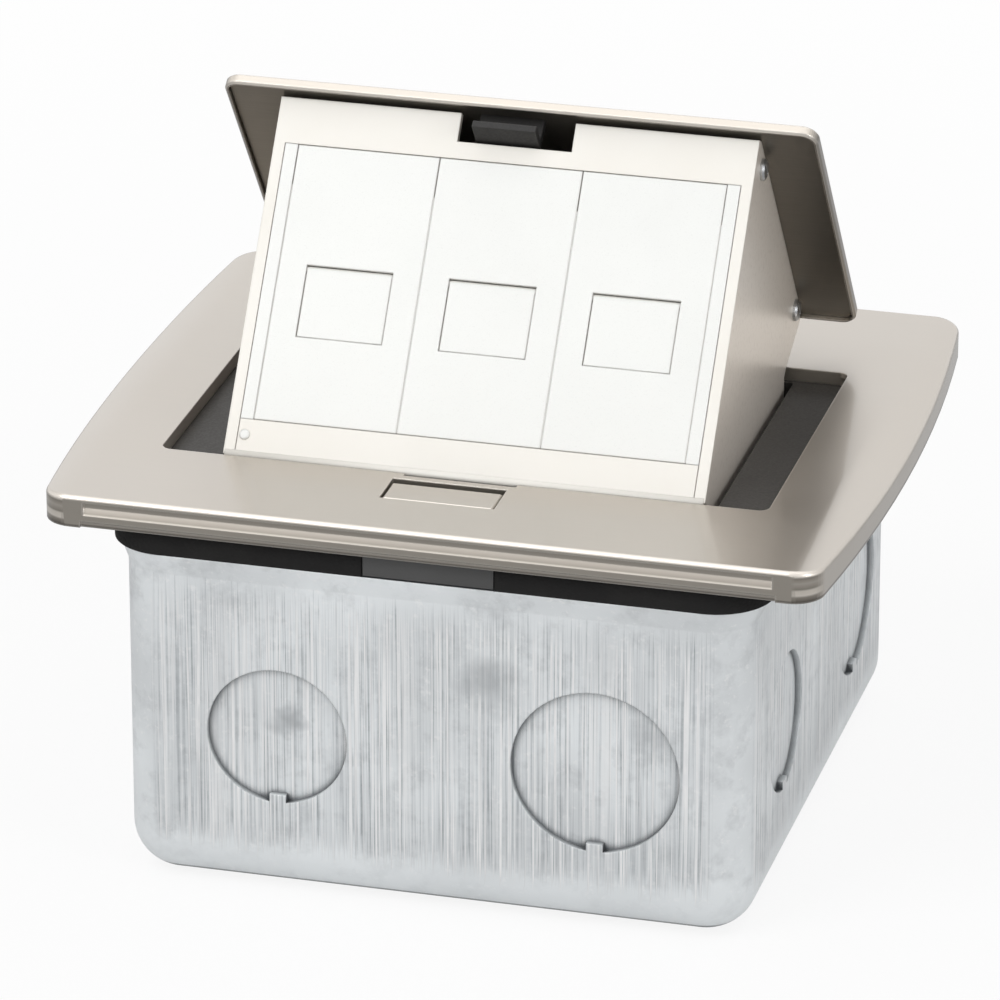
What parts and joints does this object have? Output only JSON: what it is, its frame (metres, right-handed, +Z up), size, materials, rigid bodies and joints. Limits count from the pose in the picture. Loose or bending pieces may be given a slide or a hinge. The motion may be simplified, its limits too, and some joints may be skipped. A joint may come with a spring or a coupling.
{
  "type": "floor socket box",
  "caption": "Flush floor socket box with a spring-up cassette of data outlets in a bowed metal cover plate over a drawn steel back box.",
  "frame": {"origin": "middle of the back box's base", "axes": "+Z up out of the floor, +Y towards the hinge at the rear, +X to the right of a user who faces the outlets"},
  "size_m": [0.1254, 0.105, 0.1129],
  "materials": {
    "galvanised_steel": "satin",
    "satin_nickel": "satin",
    "zinc_steel": "bright zinc",
    "spring_steel": "oiled",
    "black_plastic": "fine texture",
    "black_foam": "closed-cell foam",
    "grey_rubber": "matt",
    "ivory_plastic": "satin",
    "white_plastic": "semi-gloss",
    "contact_bronze": "gold-flashed"
  },
  "bodies": {
    "housing": {"back_box": "galvanised_steel", "box_lugs": "galvanised_steel", "earth_terminal": "contact_bronze", "earth_screw": "zinc_steel", "cover_plate": "satin_nickel", "plate_clips": "zinc_steel", "inner_frame": "black_plastic", "frame_screws": "zinc_steel", "foam_collar": "black_foam", "floor_seals": "grey_rubber", "hinge_bracket_left": "galvanised_steel", "hinge_bracket_right": "galvanised_steel", "hinge_pin_left": "zinc_steel", "hinge_pin_right": "zinc_steel", "torsion_spring_left": "spring_steel", "torsion_spring_right": "spring_steel", "stop_pads": "grey_rubber", "latch_housing": "black_plastic"},
    "cassette": {"lid_shell": "satin_nickel", "lid_stiffener": "zinc_steel", "lid_lugs": "zinc_steel", "cradle_screws": "zinc_steel", "lid_catch": "zinc_steel", "cradle": "ivory_plastic", "lower_panel": "ivory_plastic", "panel_rivet": "white_plastic", "module_holder": "white_plastic", "faceplate_left": "white_plastic", "faceplate_centre": "white_plastic", "faceplate_right": "white_plastic", "jack_body_left": "white_plastic", "jack_body_centre": "white_plastic", "jack_body_right": "white_plastic", "contacts_left": "contact_bronze", "contacts_centre": "contact_bronze", "contacts_right": "contact_bronze", "terminals_left": "white_plastic", "terminals_centre": "white_plastic", "terminals_right": "white_plastic"},
    "latch": {"latch_button": "black_plastic", "latch_slide": "black_plastic", "latch_tongue": "zinc_steel"},
    "door_left": {"flap_left": "white_plastic"},
    "door_centre": {"flap_centre": "white_plastic"},
    "door_right": {"flap_right": "white_plastic"}
  },
  "joints": [
    {"name": "cassette_flip", "type": "hinge", "parent": "housing", "child": "cassette", "pos_m": [0, 0.0344, 0.055], "axis": [1, 0, 0], "range_deg": [0, 52.8], "stiffness_Nm_per_rad": 0.08, "springref_deg": -68.75},
    {"name": "latch_slide", "type": "slide", "parent": "housing", "child": "latch", "axis": [0, 1, 0], "range_m": [0, 0.0013]},
    {"name": "door_swing_left", "type": "hinge", "parent": "cassette", "child": "door_left", "pos_m": [-0.0225, -0.01314, 0.08769], "axis": [-1, 0, 0], "range_deg": [-86, 0], "stiffness_Nm_per_rad": 0.0008, "springref_deg": 22.92},
    {"name": "door_swing_centre", "type": "hinge", "parent": "cassette", "child": "door_centre", "pos_m": [0, -0.01314, 0.08769], "axis": [-1, 0, 0], "range_deg": [-86, 0], "stiffness_Nm_per_rad": 0.0008, "springref_deg": 22.92},
    {"name": "door_swing_right", "type": "hinge", "parent": "cassette", "child": "door_right", "pos_m": [0.0225, -0.01314, 0.08769], "axis": [-1, 0, 0], "range_deg": [-86, 0], "stiffness_Nm_per_rad": 0.0008, "springref_deg": 22.92}
  ]
}
